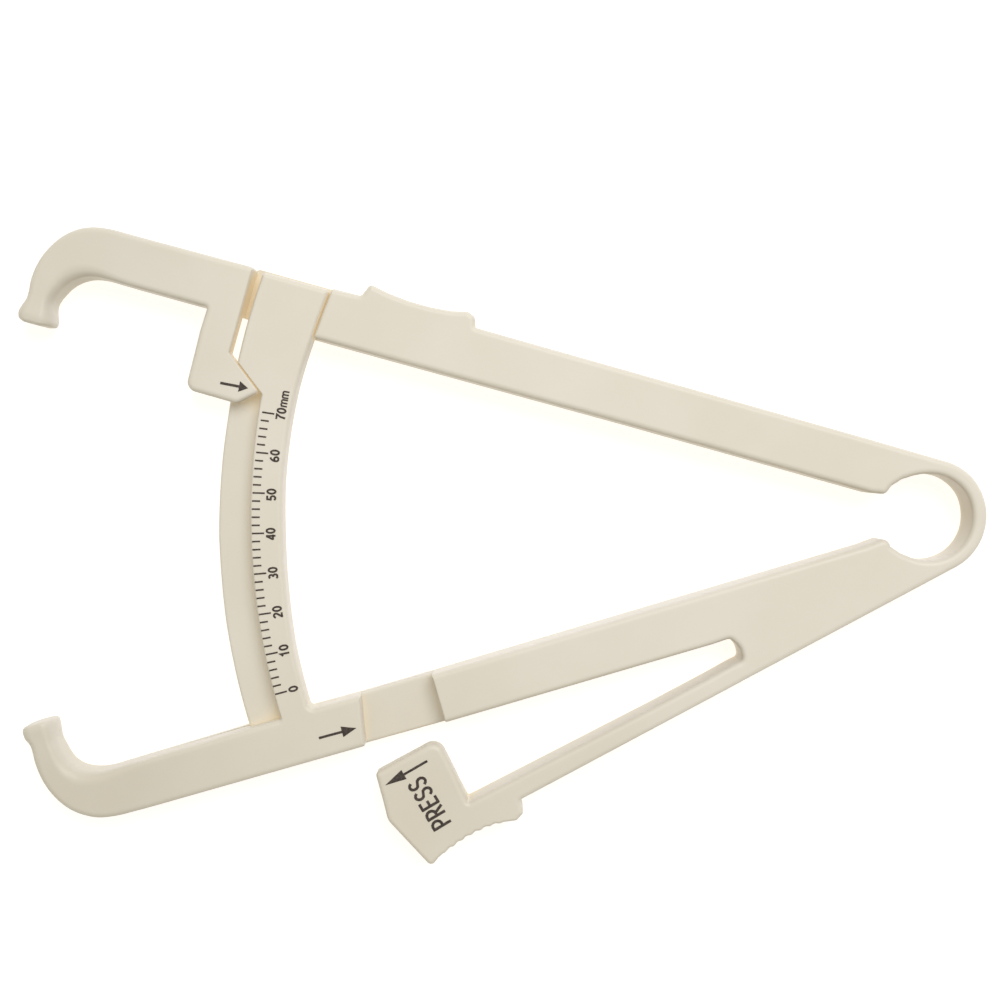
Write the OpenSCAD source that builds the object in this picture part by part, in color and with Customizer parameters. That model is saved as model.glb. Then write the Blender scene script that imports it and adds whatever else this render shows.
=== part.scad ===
// Skinfold caliper with a curved millimetre scale, lying flat on its back.
// +X runs from the jaws to the spring ring, +Y towards the upper arm, +Z out of the printed face.
// The origin is under the middle of the whole outline, on the face it rests on. Millimetres.
//
// Three plan frames are used, each named after the limb it follows:
//   upper: s along the upper arm from the ring pivot to the jaw, n outwards (up)
//   lower: s along the lower arm from the ring pivot to the jaw, n outwards (down)
//   leaf:  s along the press lever's outer edge from the ring's centre, n outwards (down)

/* [Moulding] */
// Thickness of the arms and jaws
thick = 8; // [7:0.25:9]
// Slope of the upper arm above the level, jaws fully open
upper_deg = 15.6; // [15.2:0.1:16]
// Slope of the lower arm below the level
lower_deg = 16.6; // [16.2:0.1:17]
// Slope of the press lever's outer edge below the level
leaf_deg = 28.1; // [27.8:0.1:28.4]

/* [Arms] */
// Width of each arm where it leaves the spring ring
arm_root_w = 8.9; // [8.6:0.1:9.2]
// Width of the upper arm at its left end
arm_end_w = 9.6; // [9.2:0.1:9.8]
// Radius of the upper arm's left end about the pivot
arm_end_r = 120.4; // [120:0.1:120.6]
// Distance from the pivot to the jaw's shoulder, past the scale channel
shoulder_s = 133.8; // [133.7:0.05:134]
// Distance from the pivot to the middle of the contact pads
pad_s = 170.6; // [170.2:0.1:171]

/* [Spring ring] */
// Radius of the ring's eye
eye_r = 8.2; // [8:0.05:8.4]
// Outer radius of the ring
ring_r = 10.45; // [10.3:0.05:10.6]

/* [Scale] */
// Inner radius of the scale rail about the pivot
rail_in_r = 121; // [120.9:0.1:121.4]
// Radius of the step between the printed rail and the pointer's track
step_r = 126.8; // [126.6:0.1:127]
// Outer radius of the full-height stop plate
plate_r = 132.1; // [131.8:0.1:132.4]
// Outer radius of the track
track_r = 133.2; // [133:0.05:133.3]
// Height of the band's underside above the bridge it slides over
band_z = 2.8; // [2.7:0.05:3]
// Height of the track's floor
track_z = 4.5; // [4.3:0.1:4.6]
// Angle of the zero mark from the level, about the pivot
zero_deg = -15.02; // [-15.1:0.02:-14.8]
// Angle taken by ten millimetres of opening at the pads
ten_mm_deg = 3.39; // [3.36:0.01:3.4]
// Highest marked reading
top_mm = 70; // [60:10:70]

/* [Pointer and bridge] */
// Thickness of the bridge behind the band
bridge_t = 2.5; // [2:0.1:2.6]
// Height of the underside of the pointer's foot above the track
foot_z = 4.8; // [4.7:0.05:5]
// Gap between the pointer and the stop plate, fully open
stop_gap = 0.12; // [0.1:0.02:0.2]

/* [Press lever] */
// Thickness of the leaf at its root
leaf_root_t = 3.1; // [2.6:0.05:3.3]
// Thickness of the leaf where it meets the head
leaf_end_t = 3.85; // [3.6:0.05:4]
// Radius of the slot's closed end
slot_r = 2.65; // [2.5:0.05:2.7]
// Height of the floor that the head slides over
recess_z = 4; // [3.5:0.1:4]
// Height of the underside of the head's tongue
tongue_z = 4.4; // [4.3:0.1:4.8]

/* [Print] */
// Height of the printed ink above the surface
ink = 0.05; // [0.03:0.01:0.1]
// Width of a scale mark
mark_w = 0.3; // [0.2:0.02:0.34]
// How far the print drifts towards the ring at the top of the scale
drift = 0.5; // [0:0.05:0.6]
// Cap height of the numerals
digit_h = 1.75; // [1.5:0.05:1.9]
// Cap height of the word on the lever
word_h = 3.7; // [3.4:0.1:3.9]

/* [Hidden] */

// Pivot of the ring, and the ring's centre, measured from the middle of the outline
pivot = [80.31, 5.42];
eye = [78.58, 5.32];

cream = [0.88, 0.86, 0.79];
cream_shade = [0.85, 0.83, 0.75];
dark = [0.2, 0.17, 0.15];

module at(p) translate([p[0], p[1], 0]) children();
module upper() at(pivot) rotate(180 - upper_deg) mirror([0, 1, 0]) children();
module lower() at(pivot) rotate(180 + lower_deg) children();
module leaf() at(eye) rotate(180 + leaf_deg) children();
module slab(z0, z1) translate([0, 0, z0]) linear_extrude(z1 - z0) children();
module about_pivot(r, z0, z1) translate([0, 0, z0]) cylinder(r = r, h = z1 - z0, $fn = 240);
module band(r0, r1, z0, z1) difference() {
    about_pivot(r1, z0, z1);
    about_pivot(r0, z0 - 1, z1 + 1);
}

// The ring's centre, seen in the two arm frames
d = eye - pivot;
eye_up = [-d[0] * cos(upper_deg) + d[1] * sin(upper_deg), d[0] * sin(upper_deg) + d[1] * cos(upper_deg)];
eye_low = [-d[0] * cos(lower_deg) - d[1] * sin(lower_deg), d[0] * sin(lower_deg) - d[1] * cos(lower_deg)];

// A point of the upper frame, at rest, in the lower frame
function up_in_low(p) = let (r = norm(p), a = upper_deg + lower_deg + atan2(p[1], p[0])) [r * cos(a), -r * sin(a)];
// A point of the leaf frame in the lower frame
function leaf_in_low(p) = let (a = leaf_deg - lower_deg) eye_low + [p[0] * cos(a) - p[1] * sin(a), p[0] * sin(a) + p[1] * cos(a)];
// Edges of the upper arm
up_root_n = ring_r + eye_up[1];
function up_top(s) = up_root_n + (arm_end_w + 0.8 - up_root_n) * (s - eye_up[0]) / 110;
function up_bottom(s) = up_root_n - arm_root_w - 0.2 * (s - eye_up[0]) / 110;
// Edges of the lower arm
function low_top(s) = 1.5 - 0.0015 * (s - 10);
function low_bottom(s) = 10.75 - 0.0078 * (s - 43.3);
// Inner edge of the leaf, in the leaf frame
leaf_root_s = 44.8;
leaf_end_s = 99.9;
function leaf_inner(s) = ring_r - leaf_root_t - (leaf_end_t - leaf_root_t) * (s - leaf_root_s) / (leaf_end_s - leaf_root_s);

// Pointer: the corner under the shoulder and the tip, in the upper frame
heel = [shoulder_s, -6.2];
tip = [127.0, -11.4];
slope = (heel - tip) / norm(heel - tip);
across = [-slope[1], slope[0]];
// The stop edge runs along the pointer's edge, a small gap above it
stop_a = tip - 0.9 * slope + stop_gap * across;
stop_b = heel + 1.6 * slope + stop_gap * across;

// ---- lower frame ----

module spring_ring() color(cream_shade) at(eye) difference() {
    intersection() {
        cylinder(r = ring_r, h = thick, $fn = 120);
        slab(0, thick) polygon([
            [0, 0],
            40 * [sin(leaf_deg), -cos(leaf_deg)],
            [60, 0],
            40 * [sin(upper_deg), cos(upper_deg)]
        ]);
    }
    translate([0, 0, -1]) cylinder(r = eye_r, h = thick + 2, $fn = 120);
}

module lower_arm() color(cream) difference() {
    lower() slab(0, thick) polygon([
        eye_low, [8, low_top(8)], [98, low_top(98)], [98, low_bottom(98)], [44.5, low_bottom(44.5)],
        leaf_in_low([leaf_root_s, 3]), leaf_in_low([leaf_root_s, ring_r]), leaf_in_low([0, ring_r])
    ]);
    leaf() translate([leaf_root_s, ring_r - leaf_root_t - slot_r, -1]) cylinder(r = slot_r, h = thick + 2, $fn = 60);
    at(eye) translate([0, 0, -1]) cylinder(r = eye_r, h = thick + 2, $fn = 120);
}

module recess_floor() color(cream_shade) lower() slab(0, recess_z) polygon([
    [98, low_top(98)], [98, low_bottom(98)], [113.5, low_bottom(113.5)], [111.6, low_top(111.6)]
]);

// A jaw: its straight root and the block round its corner, turned to the outer bend, with the inner bend cut out
module jaw(root, bend, bend_r) difference() {
    intersection() {
        slab(0, thick) polygon(concat(root, [[pad_s + 3, 9.9], [pad_s + 3, -6.6], [pad_s - 9.1, -6.6], [pad_s - 9.1, 1]]));
        union() {
            translate([bend[0], bend[1], -1]) cylinder(r = bend_r, h = thick + 2, $fn = 120);
            translate([100, -20, -1]) cube([bend[0] - 100, 40, thick + 2]);
        }
    }
    translate([pad_s - 9.1, -6.5, -1]) cylinder(r = 7.5, h = thick + 2, $fn = 96);
}

// A flared contact pad: its plan, rounded about its own axis
module pad(face_n) intersection() {
    slab(0, thick) polygon([
        [pad_s - 1.6, -6.6], [pad_s - 2.1, -7.9], [pad_s - 2.5, -9.4], [pad_s - 2.4, face_n],
        [pad_s + 2.1, face_n], [pad_s + 2.6, -9.4], [pad_s + 2.1, -7.9], [pad_s + 1.4, -6.6]
    ]);
    translate([pad_s, -5, thick / 2]) rotate([90, 0, 0]) cylinder(r = thick / 2, h = 8, $fn = 60);
}

module lower_jaw() color(cream) lower() jaw(
    [[150, 1.25], [111.6, low_top(111.6)], [113.5, low_bottom(113.5)], [160.2, 9.35]],
    [160.2, -2.4], 11.75);

module lower_pad() color(cream_shade) lower() pad(-10.3);

module scale_rail() color(cream) lower() intersection() {
    band(rail_in_r, step_r, band_z, thick);
    slab(band_z, thick) polygon([
        [100, low_top(100)], [140, low_top(140)],
        up_in_low([200, -200 * tan(5.36)]), up_in_low([100, -100 * tan(5.36)])
    ]);
}

module guide_track() color(cream_shade) lower() intersection() {
    band(step_r, track_r, band_z, track_z);
    slab(band_z, track_z) polygon([
        [100, low_top(100)], [150, low_top(150)], [150, -70],
        up_in_low(stop_b), up_in_low(stop_a - 0.6 * slope), [100, -56]
    ]);
}

module stop_plate() color(cream) upper() intersection() {
    band(rail_in_r, plate_r, band_z, thick);
    slab(band_z, thick) polygon([
        [110, -110 * tan(5.36)], [step_r * cos(5.36), -step_r * sin(5.36)], stop_a + 0.3 * slope, stop_b,
        [shoulder_s + 2, 9.8], [110, 9.8]
    ]);
}

// ---- upper limb ----

module upper_arm() color(cream) upper() difference() {
    intersection() {
        about_pivot(arm_end_r, 0, thick);
        slab(0, thick) polygon([
            [eye_up[0], up_bottom(eye_up[0])], [130, up_bottom(130)], [130, up_top(130)], [eye_up[0], up_top(eye_up[0])]
        ]);
    }
    at(eye_up) translate([0, 0, -1]) cylinder(r = eye_r, h = thick + 2, $fn = 120);
}

module thumb_rest() color(cream) upper() difference() {
    slab(0, thick) polygon([
        [91.3, up_top(91.3)], [92.0, 12.0], [93.2, 12.9], [112.3, 12.9], [113, up_top(113)]
    ]);
    translate([102.5, 11.75 + 41.6, -1]) cylinder(r = 41.6, h = thick + 2, $fn = 240);
}

module guide_bridge() color(cream_shade) upper() difference() {
    slab(0, bridge_t) polygon([
        [110, 1], [shoulder_s, 1], [shoulder_s, 9.8], [110, 9.8]
    ]);
    about_pivot(arm_end_r, -1, thick);
}

module upper_jaw() color(cream) upper() jaw(
    [[shoulder_s, 1], [shoulder_s, 9.8], [160.8, 9.45]],
    [160.8, -2.5], 11.95);

module upper_pad() color(cream_shade) upper() pad(-10.15);

module pointer() color(cream) upper() difference() {
    slab(0, thick) polygon([
        [shoulder_s, 1], heel, tip, [127.4, -12.1], [128.8, -13.2], [130, -14.1], [131.2, -14.4],
        [138.4, -14.4], [139.4, -13.9], [139.7, -13], [140.1, 1]
    ]);
    about_pivot(track_r + 0.35, -1, foot_z);
    translate([110, -30, -1]) cube([24.9, 30.9, foot_z + 1]);
}

// ---- press lever ----

module lever_leaf() color(cream) leaf() slab(0, thick) polygon([
    [leaf_root_s, ring_r - leaf_root_t], [leaf_end_s, leaf_inner(leaf_end_s)], [leaf_end_s, ring_r], [leaf_root_s, ring_r]
]);

module press_head() color(cream) leaf() difference() {
    slab(0, thick) polygon([
        [leaf_end_s, ring_r], [leaf_end_s, -5.2], [100.2, -5.8], [101, -6.3], [111.9, -6.1], [112.6, -5.6],
        [113.5, -1.1], [113.9, 1.8], [113.6, 3.4], [111.8, ring_r]
    ]);
    translate([leaf_end_s - 5, -20, -1]) cube([30, 21, tongue_z + 1]);
}

module thumb_grip() color(cream) leaf() difference() {
    slab(0, thick) polygon([
        [90.7, ring_r], [111.8, ring_r], [111.5, 11.8], [110.9, 12.8], [109.6, 13.1], [94, 13.2],
        [92.6, 13.1], [91.8, 12.5]
    ]);
    translate([101.7, 11.5 + 20.6, -1]) cylinder(r = 20.6, h = thick + 2, $fn = 180);
}

// ---- print ----

// Strokes: a path drawn with a pen of width w, its corners mitred
function unit_n(p, q) = let (v = q - p, l = norm(v)) [-v[1] / l, v[0] / l];
function side(p, h, closed = false) = let (k = len(p)) [for (i = [0 : k - 1])
    let (a = (i > 0) ? unit_n(p[i - 1], p[i]) : closed ? unit_n(p[k - 1], p[0]) : unit_n(p[0], p[1]),
         b = (i < k - 1) ? unit_n(p[i], p[i + 1]) : closed ? unit_n(p[k - 1], p[0]) : a,
         m = a + b) p[i] + h * m * 2 / (m * m)];
function back(v) = [for (i = [len(v) - 1 : -1 : 0]) v[i]];
function arc(c, rx, ry, a0, a1, k = 8) = [for (i = [0 : k]) let (a = a0 + (a1 - a0) * i / k) c + [rx * cos(a), ry * sin(a)]];
module pen(p, w) polygon(concat(side(p, w / 2), back(side(p, -w / 2))));
module loop(p, w) difference() {
    polygon(side(p, -w / 2, true));
    polygon(side(p, w / 2, true));
}

// Glyphs one unit high, each [width, [open paths], [closed paths]]
function glyph(c) =
    c == "0" ? [0.56, [], [arc([0.28, 0.5], 0.22, 0.43, 0, 330, 11)]] :
    c == "1" ? [0.56, [[[0.1, 0.7], [0.33, 0.93], [0.33, 0]]], []] :
    c == "2" ? [0.56, [arc([0.28, 0.7], 0.21, 0.23, 170, -40, 6), [[0.47, 0.58], [0.08, 0.05]], [[0.03, 0.07], [0.54, 0.07]]], []] :
    c == "3" ? [0.56, [arc([0.26, 0.71], 0.19, 0.22, 150, -100, 6), arc([0.26, 0.28], 0.23, 0.22, 95, -150, 6)], []] :
    c == "4" ? [0.56, [[[0.42, 0], [0.42, 1]], [[0.4, 0.97], [0.04, 0.25]], [[0.02, 0.27], [0.56, 0.27]]], []] :
    c == "5" ? [0.56, [[[0.52, 0.93], [0.15, 0.93], [0.1, 0.46]], arc([0.27, 0.32], 0.22, 0.26, 140, -150, 7)], []] :
    c == "6" ? [0.56, [arc([0.5, 0.36], 0.44, 0.57, 100, 175, 5)], [arc([0.28, 0.3], 0.22, 0.23, 0, 324, 9)]] :
    c == "7" ? [0.56, [[[0.03, 0.93], [0.52, 0.93], [0.3, 0.5], [0.22, 0]]], []] :
    c == "m" ? [0.86, [[[0.09, 0], [0.09, 0.66]],
                       concat(arc([0.25, 0.48], 0.16, 0.16, 170, 0, 5), [[0.41, 0]]),
                       concat(arc([0.58, 0.48], 0.17, 0.16, 170, 0, 5), [[0.75, 0]])], []] :
    c == "P" ? [0.5, [[[0.07, 0], [0.07, 1]], concat([[0.03, 0.94]], arc([0.22, 0.7], 0.2, 0.24, 90, -90, 6), [[0.03, 0.46]])], []] :
    c == "R" ? [0.5, [[[0.07, 0], [0.07, 1]], concat([[0.03, 0.94]], arc([0.22, 0.7], 0.2, 0.24, 90, -90, 6), [[0.03, 0.46]]),
                      [[0.22, 0.48], [0.43, 0]]], []] :
    c == "E" ? [0.46, [[[0.07, 0], [0.07, 1]], [[0.04, 0.06], [0.42, 0.06]], [[0.04, 0.94], [0.42, 0.94]], [[0.04, 0.52], [0.38, 0.52]]], []] :
    c == "S" ? [0.5, [concat(arc([0.25, 0.71], 0.18, 0.22, 20, 225, 7), arc([0.25, 0.28], 0.19, 0.22, 45, -160, 7))], []] :
    [0.4, [], []];

// Writes one line of characters, centred on [0, 0] unless left is set
function line_w(t, gap, i = 0) = i >= len(t) ? -gap : glyph(t[i])[0] + gap + line_w(t, gap, i + 1);
function start_of(t, i, gap) = i == 0 ? 0 : start_of(t, i - 1, gap) + glyph(t[i - 1])[0] + gap;
module word(t, h, w, gap, stretch = 1) scale(h)
    for (i = [0 : len(t) - 1]) translate([start_of(t, i, gap) - line_w(t, gap) / 2, -0.5]) {
        for (p = glyph(t[i])[1]) pen(p, w / h);
        for (p = glyph(t[i])[2]) loop(p, w / h);
    }

module printed() slab(thick, thick + ink) children();

function mark_deg(mm) = lower_deg + zero_deg + ten_mm_deg * mm / 10;

// The print runs a little nearer the ring above the 40 mark. Its numerals fall behind their marks up the scale,
// but the last one, with the unit, stands a little ahead.
function inward(mm) = mm > 40 ? drift * pow((mm - 40) / 30, 1.5) : 0;
function lag_deg(mm) = mm == top_mm ? -0.09 : 0.0035 * mm - 0.06;

module scale_marks() color(dark) lower() printed()
    for (mm = [0 : 2 : top_mm]) rotate(-mark_deg(mm))
        translate([(mm % 10 == 0 ? 124.2 : 124.97) - inward(mm), -mark_w / 2]) square([mm % 10 == 0 ? 2.25 : 1.5, mark_w]);

// Numerals stand with their heads towards the marks and read up the band
module scale_numerals() color(dark) lower() printed() {
    for (mm = [0 : 10 : top_mm]) rotate(-mark_deg(mm) + lag_deg(mm)) translate([122.98 - inward(mm), 0]) rotate(-90)
        word(str(mm), digit_h, 0.35, 0.12);
    rotate(-mark_deg(top_mm) - 1.42) translate([123 - inward(top_mm), 0]) rotate(-90) word("mm", digit_h, 0.3, 0.02);
}

module arrow_plan(l, head_l, head_w, w) {
    translate([0, -w / 2]) square([l - head_l + 0.2, w]);
    polygon([[l - head_l, -head_w / 2], [l, 0], [l - head_l, head_w / 2]]);
}

module arm_arrow() color(dark) lower() printed() translate([121, 6.5]) rotate(180 - 1.5) arrow_plan(7.15, 2.75, 2.0, 0.44);

module pointer_arrow() color(dark) upper() printed() translate([133.9, -12.0]) rotate(180 - 4.7) arrow_plan(5.2, 1.7, 2.0, 0.48);

module lever_arrow() color(dark) leaf() printed() translate([102.7, -3.95]) rotate(2) arrow_plan(8.95, 4.0, 1.9, 0.44);

module lever_label() color(dark) leaf() printed() translate([106.1, 3.05]) rotate(-87.2) word("PRESS", word_h, 0.52, 0.065);

lower_arm();
recess_floor();
lower_jaw();
lower_pad();
scale_rail();
guide_track();
stop_plate();
spring_ring();
upper_arm();
thumb_rest();
guide_bridge();
upper_jaw();
upper_pad();
pointer();
lever_leaf();
press_head();
thumb_grip();
scale_marks();
scale_numerals();
arm_arrow();
pointer_arrow();
lever_arrow();
lever_label();
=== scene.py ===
import math

import bpy
import numpy as np
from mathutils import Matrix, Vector


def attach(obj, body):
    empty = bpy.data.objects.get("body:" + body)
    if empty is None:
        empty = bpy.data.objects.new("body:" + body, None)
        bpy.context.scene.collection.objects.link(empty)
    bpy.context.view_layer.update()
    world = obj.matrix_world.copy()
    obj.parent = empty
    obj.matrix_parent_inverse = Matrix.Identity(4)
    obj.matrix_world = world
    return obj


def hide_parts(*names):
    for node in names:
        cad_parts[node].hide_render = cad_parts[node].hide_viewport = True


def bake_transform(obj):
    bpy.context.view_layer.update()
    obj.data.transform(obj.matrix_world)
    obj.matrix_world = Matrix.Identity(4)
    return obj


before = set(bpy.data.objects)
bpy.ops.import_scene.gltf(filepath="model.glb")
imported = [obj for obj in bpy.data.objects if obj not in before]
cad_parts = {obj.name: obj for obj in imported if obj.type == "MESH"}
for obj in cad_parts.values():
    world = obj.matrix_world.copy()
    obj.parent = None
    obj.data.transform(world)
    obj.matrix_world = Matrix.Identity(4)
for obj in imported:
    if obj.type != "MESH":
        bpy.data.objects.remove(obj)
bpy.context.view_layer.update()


MM = 0.001
T = 8.0                      # thickness of the arms and jaws, mm
PIV = np.array([80.31, 5.42])
EYE = np.array([78.58, 5.32])
RT, RB = 1.0, 0.7            # edge rounding on the printed face and on the back


def _dir(deg):
    return np.array([math.cos(math.radians(deg)), math.sin(math.radians(deg))])


def U(s, n):                 # upper limb: s towards the jaw, n outwards
    return PIV + s * _dir(164.4) + n * _dir(74.4)


def L(s, n):                 # lower limb
    return PIV + s * _dir(196.6) + n * _dir(286.6)


def F(s, n):                 # press lever
    return EYE + s * _dir(208.1) + n * _dir(298.1)


def upl(r, deg):             # polar about the pivot, deg up from the lower limb's axis
    a = math.radians(deg)
    return L(r * math.cos(a), -r * math.sin(a))


# ---------------------------------------------------------------- outlines
# A corner is (point, radius, top, back): top and back scale the rounding of the edge that starts there.

def V(p, r=0.0, top=1.0, back=1.0):
    return (np.array(p, float), r, top, back)


def arc(centre, r, a0, a1, step=4.0, top=1.0, back=1.0, ends=(True, True)):
    k = max(2, int(math.ceil(abs(a1 - a0) / step)))
    pts = [V(np.array(centre) + r * _dir(a0 + (a1 - a0) * i / k), 0, top, back) for i in range(k + 1)]
    return pts[0 if ends[0] else 1:None if ends[1] else -1]


def band(r, d0, d1, step=1.2, top=1.0, back=1.0, ends=(True, True)):
    """along a radius about the pivot; r is a number or a function of the angle"""
    k = max(2, int(math.ceil(abs(d1 - d0) / step)))
    at = r if callable(r) else (lambda d: r)
    degs = [d0 + (d1 - d0) * i / k for i in range(k + 1)]
    pts = [V(upl(at(d), d), 0, top, back) for d in degs]
    return pts[0 if ends[0] else 1:None if ends[1] else -1]


def ccw(corners):
    p = np.array([c[0] for c in corners])
    q = np.roll(p, -1, 0)
    if np.sum(p[:, 0] * q[:, 1] - q[:, 0] * p[:, 1]) > 0:
        return corners
    n = len(corners)
    out = []
    for i in range(n - 1, -1, -1):          # an edge keeps its own rounding when the order turns
        e = corners[(i - 1) % n]
        out.append((corners[i][0], corners[i][1], e[2], e[3]))
    return out


class Plan:
    """An outline whose edges can each be moved inwards, with the same points at every step."""

    def __init__(self, corners, seg=6.0, spacing=5.0):
        c = ccw(corners)
        self.p = np.array([v[0] for v in c])
        self.r = [v[1] for v in c]
        self.top = np.array([v[2] for v in c])
        self.back = np.array([v[3] for v in c])
        n = len(c)
        d = np.roll(self.p, -1, 0) - self.p
        self.len = np.linalg.norm(d, axis=1)
        self.t = d / self.len[:, None]
        self.nin = np.stack([-self.t[:, 1], self.t[:, 0]], 1)
        self.turn = [math.atan2(self.t[i - 1][0] * self.t[i][1] - self.t[i - 1][1] * self.t[i][0],
                                float(self.t[i - 1] @ self.t[i])) for i in range(n)]
        self.k = [max(2, int(math.ceil(abs(math.degrees(self.turn[i])) / seg))) if self.r[i] > 0 else 0 for i in range(n)]
        base, edge = self._anchors(np.zeros(n))
        self.cuts = []
        m = len(base)
        for i in range(m):
            l = np.linalg.norm(base[(i + 1) % m] - base[i])
            if l > 1.2:
                e = 0.25 / l
                inner = max(1, int(math.ceil((l - 0.5) / spacing)))
                self.cuts.append([e + (1 - 2 * e) * j / inner for j in range(inner + 1)])
            else:
                self.cuts.append([])
        self.edge = []
        for i in range(m):
            self.edge += [edge[i]] * (1 + len(self.cuts[i]))

    def _anchors(self, off):
        n = len(self.p)
        out, edge = [], []
        for i in range(n):
            a, b = self.nin[i - 1], self.nin[i]
            da, db = off[i - 1], off[i]
            cross = a[0] * b[1] - a[1] * b[0]
            if abs(cross) > 0.03 or (abs(cross) > 1e-5 and abs(da - db) < 1e-9):
                v = np.array([da * b[1] - db * a[1], a[0] * db - b[0] * da]) / cross
            else:
                m = a + b
                v = m / np.linalg.norm(m) * (da + db) / 2
            q = self.p[i] + v
            if self.k[i] == 0:
                out.append(q)
                edge.append(i)
                continue
            th, s = abs(self.turn[i]), 1 if self.turn[i] > 0 else -1
            r = max(0.03, self.r[i] - s * (da + db) / 2)
            tl = r * math.tan(th / 2)
            start = q - self.t[i - 1] * tl
            c = start + s * a * r
            for j in range(self.k[i] + 1):
                f = s * th * j / self.k[i]
                w = -s * a
                w = np.array([w[0] * math.cos(f) - w[1] * math.sin(f), w[0] * math.sin(f) + w[1] * math.cos(f)])
                out.append(c + r * w)
                edge.append(i)
        return out, edge

    def ring(self, d, which):
        off = d * (self.top if which == "top" else self.back)
        a, _ = self._anchors(off)
        out = []
        for i, p in enumerate(a):
            out.append(p)
            q = a[(i + 1) % len(a)]
            out += [p + (q - p) * c for c in self.cuts[i]]
        return np.array(out)


class Build:
    """Collects quads and caps for one piece, in mm."""

    def __init__(self):
        self.v, self.f = [], []

    def add(self, pts):
        i = len(self.v)
        self.v += [tuple(p) for p in pts]
        return list(range(i, i + len(pts)))

    def prism(self, plan, z0, z1, rt=RT, rb=RB, top=True, back=True, k=6, seam=()):
        """plan between z0 and z1; seam lists the corner numbers whose edges stay open, where the next piece begins"""
        rows = []
        if rb > 0:
            rows.append((rb + 0.1, z0, "back"))
            rows += [(rb * (1 - math.sin(math.pi / 2 * j / k)), z0 + rb * (1 - math.cos(math.pi / 2 * j / k)), "back") for j in range(k + 1)]
            rows.append((0, z0 + rb + 0.12, "back"))
        else:
            rows.append((0, z0, "back"))
        if rt > 0:
            rows.append((0, z1 - rt - 0.12, "top"))
            rows += [(rt * (1 - math.cos(math.pi / 2 * j / k)), z1 - rt + rt * math.sin(math.pi / 2 * j / k), "top") for j in range(k + 1)]
            rows.append((rt + 0.1, z1, "top"))
        else:
            rows.append((0, z1, "top"))
        rings = []
        for d, z, w in rows:
            r = plan.ring(d, w)
            rings.append([(x, y, z) for x, y in r])
        ids = [self.add(r) for r in rings]
        n = len(ids[0])
        for a, b in zip(ids[:-1], ids[1:]):
            for i in range(n):
                if plan.edge[i] in seam and self._on_seam(plan, i):
                    continue
                j = (i + 1) % n
                self.f.append((a[i], a[j], b[j], b[i]))
        if top:
            self.f.append(tuple(self.add(rings[-1])))
        if back:
            self.f.append(tuple(reversed(self.add(rings[0]))))

    @staticmethod
    def _on_seam(plan, i):
        return True

    def sweep(self, stations, closed_end=False):
        """stations: (outer point, inner point, profile); profile rows are (inset, z) going up one side"""
        rings = []
        for a, b, out, inn in stations:
            w = np.linalg.norm(b - a)
            d = (b - a) / w
            half = w / 2 - 0.02
            ring = [(*(a + d * min(x, half)), z) for x, z in out] + [(*(b - d * min(x, half)), z) for x, z in reversed(inn)]
            rings.append(ring)
        ids = [self.add(r) for r in rings]
        n = len(ids[0])
        for p, q in zip(ids[:-1], ids[1:]):
            for i in range(n):
                j = (i + 1) % n
                self.f.append((p[i], p[j], q[j], q[i]))
        if closed_end:
            self.f.append(tuple(self.add(rings[-1])))
        return rings

    def make(self, name):
        me = bpy.data.meshes.new(name)
        me.from_pydata([(x * MM, y * MM, z * MM) for x, y, z in self.v], [], self.f)
        import bmesh
        bm = bmesh.new()
        bm.from_mesh(me)
        bmesh.ops.dissolve_degenerate(bm, dist=2e-7, edges=bm.edges)
        dead = [f for f in bm.faces if f.calc_area() < 1e-13]
        bmesh.ops.delete(bm, geom=dead, context="FACES")
        loose = [v for v in bm.verts if not v.link_faces]
        bmesh.ops.delete(bm, geom=loose, context="VERTS")
        bmesh.ops.recalc_face_normals(bm, faces=bm.faces)
        big = [f for f in bm.faces if len(f.verts) > 8]
        bmesh.ops.triangulate(bm, faces=big)
        bm.to_mesh(me)
        bm.free()
        me.shade_smooth()
        o = bpy.data.objects.new(name, me)
        bpy.context.scene.collection.objects.link(o)
        return o


def profile(h0=0.0, h1=T, rt=RT, rb=RB, vt=None, vb=None, k=6):
    """One side of a section, from the middle of the back to the middle of the face"""
    vt, vb = rt if vt is None else vt, rb if vb is None else vb
    rows = [(rb + 0.1, h0)]
    rows += [(rb * (1 - math.sin(math.pi / 2 * j / k)), h0 + vb * (1 - math.cos(math.pi / 2 * j / k))) for j in range(k + 1)]
    rows.append((0, h0 + vb + 0.12))
    rows.append((0, h1 - vt - 0.12))
    rows += [(rt * (1 - math.cos(math.pi / 2 * j / k)), h1 - vt + vt * math.sin(math.pi / 2 * j / k)) for j in range(k + 1)]
    rows.append((rt + 0.1, h1))
    return rows


def spline(keys, n):
    """Catmull-Rom through rows of numbers, n steps a span"""
    k = np.array(keys, float)
    k = np.vstack([2 * k[0] - k[1], k, 2 * k[-1] - k[-2]])
    out = []
    for i in range(1, len(k) - 2):
        a, b, c, d = k[i - 1], k[i], k[i + 1], k[i + 2]
        for j in range(n):
            t = j / n
            out.append(0.5 * (2 * b + (c - a) * t + (2 * a - 5 * b + 4 * c - d) * t ** 2 + (3 * b - a - 3 * c + d) * t ** 3))
    out.append(k[-2])
    return out


# ---------------------------------------------------------------- camera, floor and light
def camera():
    cd = bpy.data.cameras.new("Cam")
    cam = bpy.data.objects.new("Cam", cd)
    bpy.context.scene.collection.objects.link(cam)
    cam.location = (-0.516 * MM, 14.788 * MM, 270 * MM)
    cam.rotation_euler = (0, 0, 0)
    cd.sensor_width = 36
    cd.lens = 51.35
    cd.shift_y = -0.035
    cd.clip_start = 0.01
    bpy.context.scene.camera = cam


camera()
sc = bpy.context.scene
sc.view_settings.view_transform = "Standard"
sc.view_settings.look = "None"
sc.view_settings.exposure = 0
sc.view_settings.gamma = 1


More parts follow.
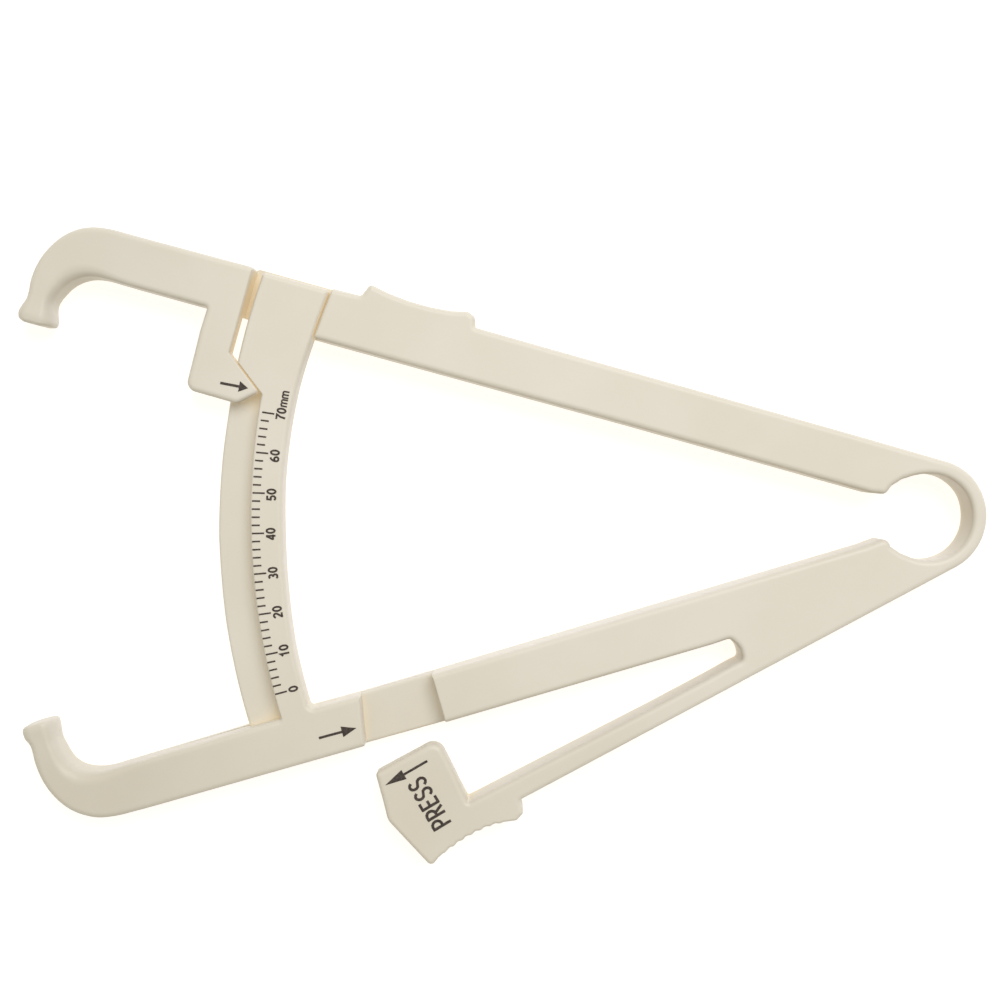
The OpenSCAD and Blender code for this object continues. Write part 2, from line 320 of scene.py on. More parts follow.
def nodes_of(mat):
    mat.use_nodes = True
    return mat.node_tree.nodes, mat.node_tree.links


def lin(r, g, b):
    f = lambda c: (c / 255 / 12.92) if c / 255 <= 0.04045 else ((c / 255 + 0.055) / 1.055) ** 2.4
    return (f(r), f(g), f(b), 1.0)


def light(name, loc, aim, size, power, colour=(1, 1, 1)):
    d = bpy.data.lights.new(name, "AREA")
    d.shape = "DISK"
    d.size = size
    d.energy = power
    d.color = colour
    o = bpy.data.objects.new(name, d)
    o.location = loc
    o.rotation_euler = (Vector(aim) - Vector(loc)).to_track_quat("-Z", "Y").to_euler()
    bpy.context.scene.collection.objects.link(o)
    return o


light("key", (0.30, 0.56, 1.0), (0, 0, 0), 0.9, 7.8, (0.985, 1.0, 1.05))
light("fill", (-0.45, 0.15, 0.55), (0, 0, 0), 0.6, 0.3, (1.0, 0.98, 0.95))
world = bpy.data.worlds.new("soft_room")
sc.world = world
world.use_nodes = True
world.node_tree.nodes["Background"].inputs["Color"].default_value = (1.0, 0.98, 0.93, 1)
world.node_tree.nodes["Background"].inputs["Strength"].default_value = 0.50

fm = bpy.data.meshes.new("table_top")
fm.from_pydata([(-3, -3, -0.0003), (3, -3, -0.0003), (3, 3, -0.0003), (-3, 3, -0.0003)], [], [(0, 1, 2, 3)])
floor = bpy.data.objects.new("table_top", fm)
sc.collection.objects.link(floor)
fmat = bpy.data.materials.new("pale_table")
ns, ls = nodes_of(fmat)
b = ns["Principled BSDF"]
b.inputs["Base Color"].default_value = (0.38, 0.38, 0.385, 1)
b.inputs["Roughness"].default_value = 0.9
b.inputs["Specular IOR Level"].default_value = 0.1
b.inputs["Emission Color"].default_value = (1, 0.975, 0.92, 1)
b.inputs["Emission Strength"].default_value = 0.82
fm.materials.append(fmat)


# ---------------------------------------------------------------- materials
def cream(name, tint=1.0):
    m = bpy.data.materials.new(name)
    ns, ls = nodes_of(m)
    b = ns["Principled BSDF"]
    tc = ns.new("ShaderNodeTexCoord")
    cloud = ns.new("ShaderNodeTexNoise")
    cloud.inputs["Scale"].default_value = 38
    cloud.inputs["Detail"].default_value = 3
    cloud.inputs["Roughness"].default_value = 0.55
    ls.new(tc.outputs["Object"], cloud.inputs["Vector"])
    ramp = ns.new("ShaderNodeValToRGB")
    ramp.color_ramp.elements[0].position = 0.3
    ramp.color_ramp.elements[0].color = [c * 0.97 * tint for c in lin(229, 221, 202)[:3]] + [1]
    ramp.color_ramp.elements[1].position = 0.7
    ramp.color_ramp.elements[1].color = [c * tint for c in lin(231, 224, 208)[:3]] + [1]
    ls.new(cloud.outputs["Fac"], ramp.inputs["Fac"])
    ao = ns.new("ShaderNodeAmbientOcclusion")
    ao.samples = 8
    ao.inputs["Distance"].default_value = 0.004
    # painted shade: creases and the feet of walls darker and warmer, driven by ambient occlusion
    painted_crease_shade = ns.new("ShaderNodeValToRGB")
    painted_crease_shade.color_ramp.elements[0].position = 0.08
    painted_crease_shade.color_ramp.elements[0].color = (0.90, 0.80, 0.61, 1)
    painted_crease_shade.color_ramp.elements[1].position = 0.66
    painted_crease_shade.color_ramp.elements[1].color = (1, 1, 1, 1)
    mid = painted_crease_shade.color_ramp.elements.new(0.38)
    mid.color = (0.975, 0.915, 0.79, 1)
    ls.new(ao.outputs["AO"], painted_crease_shade.inputs["Fac"])
    # painted light: the deep creases give off light by emission, in place of light that has passed through the
    # plastic
    painted_crease_glow = ns.new("ShaderNodeValToRGB")
    painted_crease_glow.color_ramp.elements[0].position = 0.05
    painted_crease_glow.color_ramp.elements[0].color = (0.17, 0.17, 0.17, 1)
    painted_crease_glow.color_ramp.elements[1].position = 0.75
    painted_crease_glow.color_ramp.elements[1].color = (0, 0, 0, 1)
    dim = painted_crease_glow.color_ramp.elements.new(0.38)
    dim.color = (0.085, 0.085, 0.085, 1)
    faint = painted_crease_glow.color_ramp.elements.new(0.60)
    faint.color = (0.05, 0.05, 0.05, 1)
    ls.new(ao.outputs["AO"], painted_crease_glow.inputs["Fac"])
    b.inputs["Emission Color"].default_value = (1.0, 0.89, 0.68, 1)
    ls.new(painted_crease_glow.outputs["Color"], b.inputs["Emission Strength"])

    def tinted(a, colour_out):
        mix = ns.new("ShaderNodeMix")
        mix.data_type = "RGBA"
        mix.blend_type = "MULTIPLY"
        mix.inputs["Factor"].default_value = 1.0
        ls.new(a, mix.inputs["A"])
        ls.new(colour_out, mix.inputs["B"])
        return mix.outputs["Result"]
    base = tinted(ramp.outputs["Color"], painted_crease_shade.outputs["Color"])
    # painted shade on the steep faces: darker and warmer on faces turned away from the key light, a touch lighter and
    # bluer on faces turned towards it
    geo = ns.new("ShaderNodeNewGeometry")
    sep = ns.new("ShaderNodeSeparateXYZ")
    ls.new(geo.outputs["Normal"], sep.inputs["Vector"])
    up = ns.new("ShaderNodeMath")
    up.operation = "ABSOLUTE"
    ls.new(sep.outputs["Z"], up.inputs[0])
    side = ns.new("ShaderNodeVectorMath")           # most on the faces turned to the near left
    side.operation = "DOT_PRODUCT"
    side.inputs[1].default_value = (0.5, 0.86, 0.0)
    ls.new(geo.outputs["Normal"], side.inputs[0])
    turned = ns.new("ShaderNodeValToRGB")
    turned.color_ramp.elements[0].position = 0.0
    turned.color_ramp.elements[0].color = (0.75, 0.71, 0.65, 1)
    turned.color_ramp.elements[1].position = 1.0
    turned.color_ramp.elements[1].color = (0.99, 1.0, 1.06, 1)
    spread = ns.new("ShaderNodeMapRange")
    spread.inputs["From Min"].default_value = -0.6
    spread.inputs["From Max"].default_value = 0.6
    ls.new(side.outputs["Value"], spread.inputs["Value"])
    ls.new(spread.outputs["Result"], turned.inputs["Fac"])
    steep = ns.new("ShaderNodeMapRange")
    steep.inputs["From Min"].default_value = 0.92
    steep.inputs["From Max"].default_value = 0.35
    ls.new(up.outputs["Value"], steep.inputs["Value"])
    open_side = ns.new("ShaderNodeMapRange")        # not inside the narrow slots
    open_side.inputs["From Min"].default_value = 0.50
    open_side.inputs["From Max"].default_value = 0.80
    ls.new(ao.outputs["AO"], open_side.inputs["Value"])
    both = ns.new("ShaderNodeMath")
    both.operation = "MULTIPLY"
    ls.new(steep.outputs["Result"], both.inputs[0])
    ls.new(open_side.outputs["Result"], both.inputs[1])
    painted_wall_shade = ns.new("ShaderNodeMix")
    painted_wall_shade.data_type = "RGBA"
    painted_wall_shade.inputs["A"].default_value = (1, 1, 1, 1)
    ls.new(both.outputs["Value"], painted_wall_shade.inputs["Factor"])
    ls.new(turned.outputs["Color"], painted_wall_shade.inputs["B"])
    base = tinted(base, painted_wall_shade.outputs["Result"])
    # painted shade: the jaws a little darker than the arms, as the light falls off towards them
    where = ns.new("ShaderNodeSeparateXYZ")
    ls.new(tc.outputs["Object"], where.inputs["Vector"])
    along = ns.new("ShaderNodeMapRange")
    along.interpolation_type = "SMOOTHSTEP"
    along.inputs["From Min"].default_value = -0.072
    along.inputs["From Max"].default_value = -0.040
    along.inputs["To Min"].default_value = 0.0
    along.inputs["To Max"].default_value = 1.0
    ls.new(where.outputs["X"], along.inputs["Value"])
    painted_falloff_jaws = ns.new("ShaderNodeValToRGB")
    painted_falloff_jaws.color_ramp.elements[0].position = 0.0
    painted_falloff_jaws.color_ramp.elements[0].color = (0.925, 0.925, 0.92, 1)
    painted_falloff_jaws.color_ramp.elements[1].position = 1.0
    painted_falloff_jaws.color_ramp.elements[1].color = (1, 1, 1, 1)
    ls.new(along.outputs["Result"], painted_falloff_jaws.inputs["Fac"])
    base = tinted(base, painted_falloff_jaws.outputs["Color"])
    # painted shade: a little darker towards the bottom (low y), where the light falls off
    below = ns.new("ShaderNodeMapRange")
    below.interpolation_type = "SMOOTHSTEP"
    below.inputs["From Min"].default_value = -0.046
    below.inputs["From Max"].default_value = -0.018
    ls.new(where.outputs["Y"], below.inputs["Value"])
    painted_falloff_low = ns.new("ShaderNodeValToRGB")
    painted_falloff_low.color_ramp.elements[0].position = 0.0
    painted_falloff_low.color_ramp.elements[0].color = (0.955, 0.95, 0.935, 1)
    painted_falloff_low.color_ramp.elements[1].position = 1.0
    painted_falloff_low.color_ramp.elements[1].color = (1, 1, 1, 1)
    ls.new(below.outputs["Result"], painted_falloff_low.inputs["Fac"])
    base = tinted(base, painted_falloff_low.outputs["Color"])
    ls.new(base, b.inputs["Base Color"])
    # a faint moulded grain
    grain = ns.new("ShaderNodeTexNoise")
    grain.inputs["Scale"].default_value = 2600
    grain.inputs["Detail"].default_value = 2
    ls.new(tc.outputs["Object"], grain.inputs["Vector"])
    swell = ns.new("ShaderNodeTexNoise")
    swell.inputs["Scale"].default_value = 130
    swell.inputs["Detail"].default_value = 2
    ls.new(tc.outputs["Object"], swell.inputs["Vector"])
    bump = ns.new("ShaderNodeBump")
    bump.inputs["Strength"].default_value = 0.06
    bump.inputs["Distance"].default_value = 0.0001
    ls.new(grain.outputs["Fac"], bump.inputs["Height"])
    bump2 = ns.new("ShaderNodeBump")
    bump2.inputs["Strength"].default_value = 0.05
    bump2.inputs["Distance"].default_value = 0.0006
    ls.new(swell.outputs["Fac"], bump2.inputs["Height"])
    ls.new(bump.outputs["Normal"], bump2.inputs["Normal"])
    ls.new(bump2.outputs["Normal"], b.inputs["Normal"])
    rough = ns.new("ShaderNodeMapRange")
    rough.inputs["To Min"].default_value = 0.36
    rough.inputs["To Max"].default_value = 0.46
    ls.new(cloud.outputs["Fac"], rough.inputs["Value"])
    ls.new(rough.outputs["Result"], b.inputs["Roughness"])
    b.inputs["Specular IOR Level"].default_value = 0.45
    return m


def ink():
    m = bpy.data.materials.new("pad_print_ink")
    ns, ls = nodes_of(m)
    b = ns["Principled BSDF"]
    tc = ns.new("ShaderNodeTexCoord")
    n = ns.new("ShaderNodeTexNoise")
    n.inputs["Scale"].default_value = 2400
    n.inputs["Detail"].default_value = 3
    ls.new(tc.outputs["Object"], n.inputs["Vector"])
    r = ns.new("ShaderNodeValToRGB")
    r.color_ramp.elements[0].position = 0.35
    r.color_ramp.elements[0].color = (0.040, 0.030, 0.025, 1)
    r.color_ramp.elements[1].position = 0.72
    r.color_ramp.elements[1].color = (0.095, 0.072, 0.058, 1)
    ls.new(n.outputs["Fac"], r.inputs["Fac"])
    ls.new(r.outputs["Color"], b.inputs["Base Color"])
    b.inputs["Roughness"].default_value = 0.55
    b.inputs["Specular IOR Level"].default_value = 0.3
    return m


CREAM = cream("cream_plastic_moulded")
INK = ink()


def finish_piece(o, mat, replaces, body=None):
    o.data.materials.append(mat)
    if body:
        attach(o, body)
    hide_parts(*replaces)
    return o


# ---------------------------------------------------------------- shared edges
def low_top(s):
    return 1.5 - 0.0015 * (s - 10)


def low_bottom(s):
    return 10.79 - 0.0048 * (s - 43.3)


def through(keys):
    """a number that follows keys of (where, value), level beyond both ends"""
    return lambda x: float(np.interp(x, [k[0] for k in keys], [k[1] for k in keys]))


leaf_in = through([(44.8, 7.0), (50, 7.08), (62, 7.05), (99.9, 6.45)])

EYE_C = np.array([78.50, 5.18])                   # the eye opens a little towards the jaws
EYE_KEYS = [(-155, 9.40), (-145, 8.93), (-132, 8.52), (-117, 8.15), (-100, 8.05), (-60, 8.0), (0, 7.97), (35, 8.12),
            (60, 8.07), (90, 7.98), (103, 8.06), (115, 8.22), (128, 8.60), (147, 9.15), (155, 9.35)]
RING_C, RING_R = np.array([78.45, 5.33]), 10.62
A_LOW, A_UP = -61.9, 74.4                         # where the ring leaves the limbs


def eye(a):
    for (a0, r0), (a1, r1) in zip(EYE_KEYS[:-1], EYE_KEYS[1:]):
        if a <= a1:
            t = (a - a0) / (a1 - a0)
            t = t * t * (3 - 2 * t)
            return EYE_C + (r0 + (r1 - r0) * t) * _dir(a)


def eye_arc(a0, a1):
    k = int(abs(a1 - a0) / 4) + 1
    return [V(eye(a0 + (a1 - a0) * i / k)) for i in range(k + 1)]


RING_LOW = (RING_C + RING_R * _dir(A_LOW), eye(A_LOW))
RING_UP = (RING_C + RING_R * _dir(A_UP), eye(A_UP))
SEAM_S = 150.0                                    # where each jaw's hook begins
LOW_SEAM = (10.0, 1.2)                            # its outer and inner edge there
UP_SEAM = (9.98, 0.78)
LEAF_S0, LEAF_S1 = 44.8, 89.0
rail_in = through([(5, 121.3), (10, 121.0), (15, 120.85), (20, 120.95), (25, 120.75), (28, 120.55), (30.5, 120.25), (32.4, 119.95),
                   (36.9, 119.55)])
ring_out = through([(-40, 0.0), (-10, 0.05), (10, 0.11), (45, 0.17), (62, 0.08), (74.4, 0.0)])
track_out = through([(8, 133.35), (12, 133.25), (15, 133.25), (17, 133.14), (19, 133.05), (22, 132.93), (24, 132.8)])


# ---------------------------------------------------------------- lower moulding
def lower_outline(part):
    """part: base (whole limb), arm (up to the recess) — the corners are the same points in both"""
    ring = [V(RING_LOW[0], 0, 0, 0)]               # seam edge to the inner point
    nub = [V(L(10.0, 1.06), 1.35), V(L(14.5, 1.38), 3)]
    head = ring + eye_arc(A_LOW, -143) + nub
    if part == "arm":
        end = [V(L(98, low_top(98)), 0.35, 0.45), V(L(98.05, low_bottom(98)), 0.5, 1)]
    else:
        end = [V(L(98, low_top(98))), V(L(111.6, 1.3)), V(L(121.3, 1.06)), V(L(124.5, 1.15)),
               V(L(SEAM_S, LOW_SEAM[1]), 0, 0, 0), V(L(SEAM_S, LOW_SEAM[0])), V(L(114.6, low_bottom(114.6))),
               V(L(113.4, 10.53), 0.5), V(L(98.6, 10.82), 0.5), V(L(97.4, low_bottom(97.4)))]
    # the underside runs into the slot's rounded end, then along to the leaf
    und = [V(L(46.8, low_bottom(46.8)), 4)]
    slot = [V(F(43.0, 2.52), 1.0), V(F(42.15, 4.8), 3.0), V(F(42.75, 7.08), 0.9)]
    tail = [V(F(LEAF_S0, leaf_in(LEAF_S0)), 0, 0, 0), V(F(LEAF_S0, RING_OUT_N))]
    return head + end + und + slot + tail


RING_OUT_N = float((RING_LOW[0] - EYE) @ _dir(298.1))


def seam_numbers(corners, pts):
    out = []
    for p in pts:
        d = [np.linalg.norm(c[0] - p) for c in corners]
        out.append(int(np.argmin(d)))
    return out


def prism_of(b, corners, z0, z1, seams, **kw):
    """seams: start points of open edges, in the corners' own order"""
    c = ccw(corners)
    flipped = c is not corners
    plan = Plan(corners)
    nums = []
    for p, q in seams:
        for i in range(len(c)):
            a, bb = c[i][0], c[(i + 1) % len(c)][0]
            if (np.linalg.norm(a - p) < 1e-6 and np.linalg.norm(bb - q) < 1e-6) or \
                    (np.linalg.norm(a - q) < 1e-6 and np.linalg.norm(bb - p) < 1e-6):
                nums.append(i)
    b.prism(plan, z0, z1, seam=tuple(nums), **kw)


def lower_moulding():
    b = Build()
    leaf_seam = (F(LEAF_S0, leaf_in(LEAF_S0)), F(LEAF_S0, RING_OUT_N))
    ring_seam = RING_LOW
    hook_seam = (L(SEAM_S, LOW_SEAM[1]), L(SEAM_S, LOW_SEAM[0]))
    prism_of(b, lower_outline("base"), 0, 2.8, (leaf_seam, ring_seam, hook_seam), rt=0, top=False)
    prism_of(b, lower_outline("arm"), 2.8, T, (leaf_seam, ring_seam), rb=0, back=False)
    # floor of the recess, its ends just inside its neighbours
    floor = [V(L(97.7, low_top(98) + 0.02)), V(L(111.8, 1.32), 0, 0), V(L(113.6, 10.51)),
             V(L(97.9, 10.80), 0, 0)]
    b.prism(Plan(floor), 2.8, 4.0, rt=0.55, rb=0, back=False)
    # jaw root, arrow ground, printed rail and stop plate: one flush face
    tip = np.array([127.0, -11.4])
    heel = np.array([133.8, -6.2])
    sl = (heel - tip) / np.linalg.norm(heel - tip)
    ac = np.array([-sl[1], sl[0]])
    gap = 0.09
    sa, sb = tip - 1.0 * sl + gap * ac, heel + 1.6 * sl + gap * ac

    def on_circle(p, d, r):
        """where p + t d meets the circle r about the pivot, in the upper frame"""
        bq, cq = p @ d, p @ p - r * r
        t = -bq + math.sqrt(bq * bq - cq)
        return p + t * d
    corner_b = on_circle(tip + gap * ac, sl, 132.25)
    deg = lambda q: 32.2 + math.degrees(math.atan2(q[1], q[0]))
    top_l = (math.sqrt(132.25 ** 2 - 9.85 ** 2), 9.85)
    top_r = (math.sqrt(119.55 ** 2 - 9.85 ** 2), 9.85)
    a_sa = deg(sa)
    face = [V(L(113.4, low_bottom(113.4)), 0.35, 1.0, 0), V(L(SEAM_S, LOW_SEAM[0]), 0, 0, 0), V(L(SEAM_S, LOW_SEAM[1]), 0, 1, 0),
            V(L(126.8, 1.25), 0.4, 0.5, 0.4)]
    face += band(126.8, 0.4, a_sa - 0.6, top=0.5, back=0.4)
    face += [V(U(*sa), 0.5, 0.25, 0.4), V(U(*corner_b), 0.4, 0.65, 0.4)]
    face += band(132.25, deg(corner_b) + 0.6, deg(top_l) - 0.5, top=0.65, back=0.4)
    face += [V(U(*top_l), 0.7, 1.0, 0.4), V(U(*top_r), 0.7, 0.8, 0.4)]
    face += band(rail_in, deg(top_r) - 0.6, 0.7, top=0.8, back=0.4)
    face += [V(L(121.3, 1.08), 1.2, 0.9, 0), V(L(111.6, 1.3), 0.3, 0.5, 0)]
    prism_of(b, face, 2.8, T, (hook_seam,), rb=0.7)
    # the pointer's track
    tr = [V(L(133.2, 1.8), 0, 1), V(L(126.2, 1.8), 0, 0)]
    tr += band(126.3, 0, a_sa - 0.4, top=0)
    tr += [V(U(*(sa - 0.5 * sl + 0.5 * ac)), 0, 0), V(U(*(corner_b + 0.3 * sl + 0.5 * ac)), 0, 1)]
    tr += band(track_out, deg(corner_b) + 0.1, -0.3, top=1)
    b.prism(Plan(tr), 2.83, 4.5, rt=0.55, rb=0.3)
    return b


def hook(b, fr, keys):
    """keys: outer s, n, inner s, n, outer and inner face rounding (across, down), back rounding (across, up), z low, z high"""
    st = []
    for k in spline(keys, 5):
        a, c = fr(k[0], k[1]), fr(k[2], k[3])
        out = profile(k[10], k[11], rt=k[4], vt=k[5], rb=k[8], vb=k[9])
        inn = profile(k[10], k[11], rt=k[6], vt=k[7], rb=k[8], vb=k[9])
        st.append((a, c, out, inn))
    b.sweep(st, closed_end=True)


LOW_HOOK = [
    # outer        inner          face out      face in     back        z
    (150.0, 10.0, 150.0, 1.20, 1.0, 1.0, 1.0, 1.0, 0.7, 0.7, 0, 8),
    (154.0, 9.95, 154.0, 1.20, 1.0, 1.0, 1.0, 1.0, 0.7, 0.7, 0, 8),
    (157.5, 9.85, 157.5, 1.22, 1.0, 1.0, 1.3, 1.1, 0.7, 0.7, 0, 8),
    (160.8, 9.70, 160.6, 1.20, 1.0, 1.0, 1.7, 1.3, 0.8, 0.8, 0, 8),
    (164.3, 9.05, 163.2, 0.70, 1.1, 1.1, 2.1, 1.6, 0.9, 0.9, 0, 8),
    (167.4, 7.40, 165.1, -0.15, 1.2, 1.2, 2.4, 1.9, 1.0, 1.1, 0, 8),
    (169.6, 5.30, 166.3, -1.20, 1.3, 1.3, 2.4, 2.1, 1.1, 1.2, 0, 8),
    (171.3, 2.50, 167.05, -2.30, 1.3, 1.4, 2.1, 2.3, 1.2, 1.4, 0, 8),
    (172.35, -0.50, 167.45, -3.50, 1.4, 1.6, 1.9, 2.4, 1.3, 1.6, 0, 8),
    (172.8, -3.60, 167.75, -5.10, 1.5, 1.9, 1.6, 2.5, 1.4, 1.9, 0.05, 7.95),
    (172.8, -6.10, 167.95, -6.70, 1.5, 2.3, 1.5, 2.6, 1.4, 2.2, 0.1, 7.9),
    (173.0, -7.40, 167.85, -7.60, 1.6, 2.6, 1.6, 2.7, 1.5, 2.5, 0.1, 7.9),
    (173.6, -8.50, 167.6, -8.70, 1.9, 3.0, 1.9, 3.0, 1.8, 2.9, 0.05, 7.95),
    (173.75, -9.45, 167.45, -9.70, 2.1, 3.3, 2.1, 3.2, 2.0, 3.2, 0.0, 8),
    (173.65, -10.20, 167.5, -10.35, 2.0, 3.3, 2.0, 3.2, 1.9, 3.2, 0.1, 7.9),
    (173.3, -10.60, 167.8, -10.65, 1.8, 3.1, 1.8, 3.1, 1.7, 3.1, 0.3, 7.7),
    (172.5, -10.85, 168.5, -10.80, 1.5, 2.9, 1.5, 2.9, 1.4, 2.9, 0.7, 7.3),
]

UP_HOOK = [
    (150.0, 9.98, 150.0, 0.78, 1.0, 1.0, 1.0, 1.0, 0.7, 0.7, 0, 8),
    (154.0, 9.93, 154.0, 0.77, 1.0, 1.0, 1.0, 1.0, 0.7, 0.7, 0, 8),
    (158.0, 9.92, 157.6, 0.80, 1.0, 1.0, 1.2, 1.1, 0.7, 0.7, 0, 8),
    (161.4, 9.85, 160.6, 0.80, 1.0, 1.0, 1.6, 1.3, 0.8, 0.8, 0, 8),
    (164.7, 9.27, 162.9, 0.40, 1.1, 1.1, 2.0, 1.6, 0.9, 0.9, 0, 8),
    (167.5, 7.92, 164.6, -0.40, 1.2, 1.2, 2.3, 1.9, 1.0, 1.1, 0, 8),
    (169.7, 5.85, 165.85, -1.40, 1.2, 1.2, 2.4, 2.1, 1.1, 1.2, 0, 8),
    (171.35, 3.30, 166.8, -2.55, 1.2, 1.3, 2.2, 2.3, 1.2, 1.4, 0, 8),
    (172.45, 0.60, 167.45, -3.80, 1.3, 1.5, 1.9, 2.4, 1.3, 1.6, 0, 8),
    (173.0, -2.50, 167.9, -4.95, 1.4, 1.8, 1.7, 2.5, 1.4, 1.9, 0.05, 7.95),
    (172.95, -5.10, 168.15, -6.05, 1.5, 2.2, 1.5, 2.6, 1.4, 2.2, 0.1, 7.9),
    (173.05, -6.50, 168.05, -7.10, 1.5, 2.6, 1.5, 2.7, 1.4, 2.5, 0.1, 7.9),
    (173.6, -7.85, 167.65, -8.15, 1.8, 3.0, 1.8, 3.0, 1.7, 2.9, 0.05, 7.95),
    (174.0, -9.00, 167.2, -9.25, 2.2, 3.3, 2.2, 3.3, 2.1, 3.2, 0.0, 8),
    (173.95, -9.85, 167.1, -9.90, 2.2, 3.4, 2.2, 3.4, 2.1, 3.3, 0.1, 7.9),
    (173.6, -10.45, 167.4, -10.40, 1.9, 3.2, 1.9, 3.2, 1.8, 3.2, 0.3, 7.7),
    (172.7, -10.85, 168.4, -10.72, 1.5, 2.9, 1.5, 2.9, 1.4, 2.9, 0.7, 7.3),
]

bl = lower_moulding()
hook(bl, L, LOW_HOOK)
lower_piece = bl.make("lower_moulding")
finish_piece(lower_piece, CREAM,
             ("lower_arm", "recess_floor", "lower_jaw", "lower_pad", "scale_rail", "guide_track", "stop_plate"), "lower_frame")


# ---------------------------------------------------------------- upper moulding
EYE_U = (EYE - PIV) @ np.stack([_dir(164.4), _dir(74.4)], 1)
UP_ROOT = float((RING_UP[0] - PIV) @ _dir(74.4))


def up_top(s):
    return UP_ROOT + (10.55 - UP_ROOT) * (s - EYE_U[0]) / 110


up_bottom = through([(13.3, 0.92), (60, 0.80), (85, 0.70), (100, 0.62), (119.5, 0.55)])


def upper_outline(part):
    ring = [V(RING_UP[1], 0, 0, 0), V(RING_UP[0]), V(U(16, up_top(16) + 0.06), 20)]
    rest = [V(U(91.6, up_top(91.6)), 0.5), V(U(92.15, 12.35), 0.9), V(U(93.6, 12.9), 0.8),
            V(U(96.7, 12.2), 5), V(U(100.5, 11.85), 12), V(U(104.7, 11.85), 12), V(U(108.7, 12.25), 10), V(U(112.3, 12.95), 0.7),
            V(U(113.35, up_top(113.35) - 0.12), 0.8)]
    nub = [V(U(100, up_bottom(100)), 20), V(U(60, up_bottom(60)), 20), V(U(13.3, 0.72), 1.5), V(U(10.6, 1.17), 1.2)]
    bow = eye_arc(140, A_UP)[:-1]
    if part == "arm":
        out, inn = 119.3, 119.75                    # it stands just short of the plate
        a = math.degrees(math.asin(10.3 / out))
        c = math.degrees(math.asin(0.55 / inn))
        k = 5
        end = [V(U(*((out + (inn - out) * i / k) * _dir(a + (c - a) * i / k))), 0.5 if i in (0, k) else 0, 0.6 if i < k else 1.0)
               for i in range(k + 1)]
        return ring + rest + end + nub + bow
    end = [V(U(120, 10.45)), V(U(133.5, 10.45), 0.3), V(U(134.1, 10.13)), V(U(SEAM_S, UP_SEAM[0]), 0, 0, 0), V(U(SEAM_S, UP_SEAM[1]))]
    stem = [V(U(140.1, 0.80), 0.5), V(U(140.25, -3.6), 4), V(U(139.95, -14.8), 1.9), V(U(134.9, -14.8)), V(U(134.9, 0.9), 0.3)]
    return ring + rest + end + stem + [V(U(119.5, 0.55))] + nub + bow


def jaw_outline(foot):
    """the jaw's root with the pointer's stem; foot adds the part that stands over the track"""
    o = [V(U(133.8, 10.15), 0.5, 1, 0), V(U(SEAM_S, UP_SEAM[0]), 0, 0, 0), V(U(SEAM_S, UP_SEAM[1]), 0, 1, 0),
         V(U(140.1, 0.80), 0.5, 1, 0), V(U(140.25, -3.6), 4, 1, 0), V(U(139.95, -14.8), 1.9, 1, 0)]
    if foot:
        o += [V(U(130.1, -14.86), 1.6, 0.85, 0.5), V(U(126.55, -11.75), 0.6, 0.35, 0.5), V(U(133.8, -6.2), 0.25, 0.4, 0)]
    else:
        o += [V(U(134.9, -14.8), 0, 1, 0), V(U(134.9, 0.9), 0, 1, 0), V(U(133.8, 0.9), 0, 1, 0)]
    return o


def upper_moulding():
    b = Build()
    hook_seam = (U(SEAM_S, UP_SEAM[0]), U(SEAM_S, UP_SEAM[1]))
    prism_of(b, upper_outline("base"), 0, 2.5, (RING_UP, hook_seam), rt=0, top=True)
    prism_of(b, upper_outline("arm"), 2.5, T, (RING_UP,), rb=0, back=False)
    prism_of(b, jaw_outline(False), 2.5, 4.8, (hook_seam,), rt=0, rb=0, top=False, back=False)
    prism_of(b, jaw_outline(True), 4.8, T, (hook_seam,), rb=0.4)
    hook(b, U, UP_HOOK)
    return b


upper_piece = upper_moulding().make("upper_moulding")
finish_piece(upper_piece, CREAM,
             ("upper_arm", "thumb_rest", "guide_bridge", "upper_jaw", "upper_pad", "pointer"), "upper_limb")


# ---------------------------------------------------------------- spring ring
def spring_ring():
    b = Build()
    st = []
    n = 60
    for i in range(n + 1):
        t = i / n
        a = A_LOW + (A_UP - A_LOW) * t
        r = RT + 0.08 * math.sin(math.pi * t) ** 2
        st.append((RING_C + (RING_R + ring_out(a)) * _dir(a), eye(a), profile(rt=r), profile(rt=r)))
    b.sweep(st)
    return b


ring_piece = spring_ring().make("spring_ring_bow")
finish_piece(ring_piece, CREAM, ("spring_ring",))
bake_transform(ring_piece)


# ---------------------------------------------------------------- press lever
def leaf():
    b = Build()
    st = []
    n = 44
    for i in range(n + 1):
        s = LEAF_S0 + (LEAF_S1 - LEAF_S0) * i / n
        st.append((F(s, RING_OUT_N), F(s, leaf_in(s)), profile(rt=0.9), profile(rt=0.9)))
    b.sweep(st)
    return b


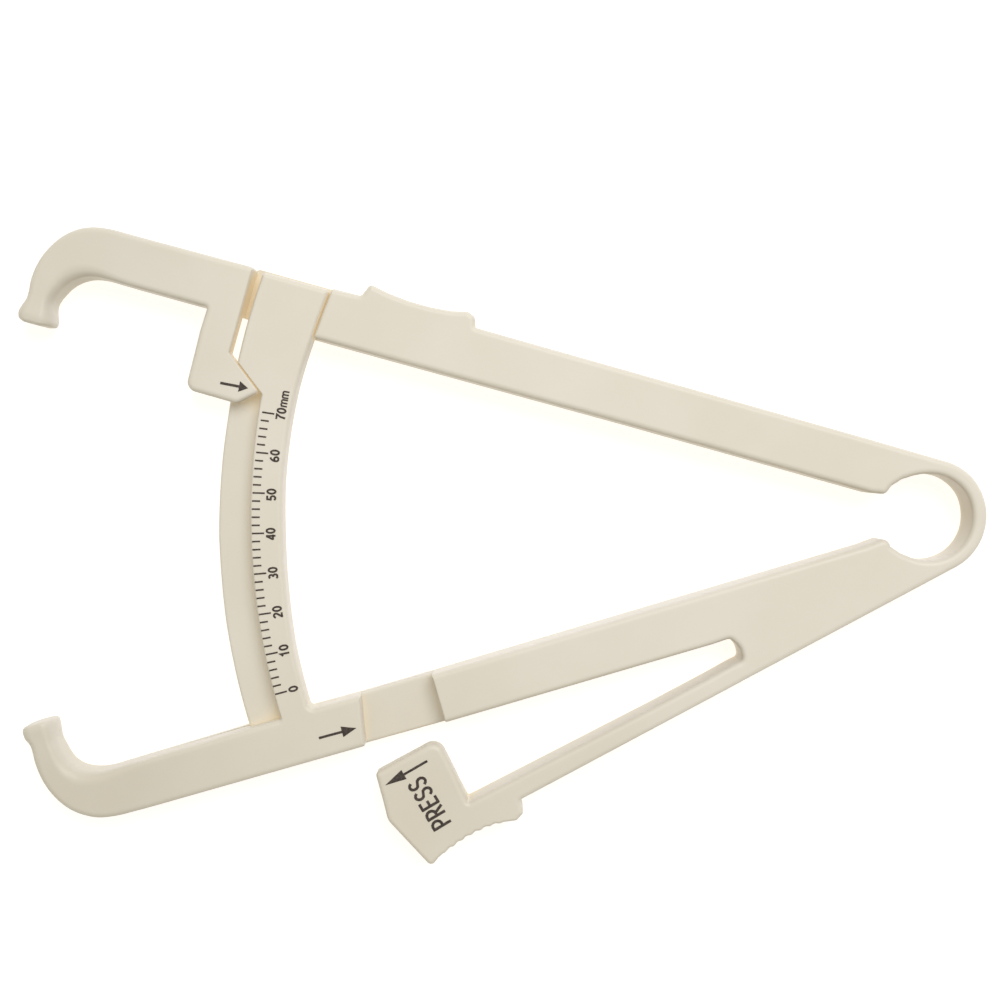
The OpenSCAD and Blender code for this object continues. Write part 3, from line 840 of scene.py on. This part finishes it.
def lever_head():
    b = Build()
    grip = []
    s0, s1 = 94.9, 109.4
    hollow = through([(94.3, 13.25), (96.1, 12.62), (98.0, 12.14), (99.5, 11.97), (101.1, 11.9), (102.4, 11.9),
                      (103.6, 11.95), (105.5, 12.14), (107.5, 12.45), (109.4, 12.85), (110.5, 13.1)])
    m = 72
    for i in range(m + 1):
        s = s0 + (s1 - s0) * i / m
        fade = min(1.0, (s - s0) / 1.5, (s1 - s) / 2.5)
        n = hollow(s) + 0.12 * fade * math.cos(2 * math.pi * (s - 102.0) / 1.9)
        grip.append(V(F(s, n), 0, 0.6, 0.6))
    seam = (F(LEAF_S1, RING_OUT_N), F(LEAF_S1, leaf_in(LEAF_S1)))
    full = [V(F(LEAF_S1, RING_OUT_N), 0, 0, 0), V(F(LEAF_S1, leaf_in(LEAF_S1)), 0, 0.9), V(F(99.72, leaf_in(99.72)), 0.4, 1.0)]
    tongue = [V(F(99.3, 0.8), 20, 1.0), V(F(99.15, -6.45), 2.4, 1.0), V(F(112.3, -6.38), 0.9, 1.0), V(F(113.5, -1.0), 3, 0.9),
              V(F(114.35, 2.4), 3, 0.8)]
    rest = [V(F(111.3, 13.75), 0.95, 0.8)] + list(reversed(grip)) + \
        [V(F(93.4, 13.6), 0.7, 0.8), V(F(91.65, 12.95), 0.8, 0.8), V(F(91.1, RING_OUT_N), 0.6, 0.9)]
    prism_of(b, [(c[0], c[1], c[2], 0.0) for c in full + tongue + rest], 4.4, T, (seam,), rb=0, back=True)
    # below the tongue
    stub = [V(F(99.85, 1.0), 0, 1, 1), V(F(114.0, 1.0), 0, 1, 1), V(F(114.35, 2.4), 0.5)]
    low = [V(F(LEAF_S1, RING_OUT_N), 0, 0, 0), V(F(LEAF_S1, leaf_in(LEAF_S1)), 0, 0.9), V(F(99.85, leaf_in(99.85)), 0.4, 1.0)]
    prism_of(b, low + stub + rest, 0, 4.4, (seam,), rt=0, top=False)
    return b


leaf_piece = leaf().make("lever_leaf_strip")
finish_piece(leaf_piece, CREAM, ("lever_leaf",))
ls0, ls1 = F(LEAF_S0, 9.0), F(LEAF_S1, 9.0)
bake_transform(leaf_piece)
head_piece = lever_head().make("lever_head_block")
finish_piece(head_piece, CREAM, ("press_head", "thumb_grip"), "press_lever")

# ---------------------------------------------------------------- print
for name in ("scale_marks", "scale_numerals", "arm_arrow", "pointer_arrow", "lever_arrow", "lever_label"):
    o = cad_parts[name]
    o.data.materials.clear()
    o.data.materials.append(INK)
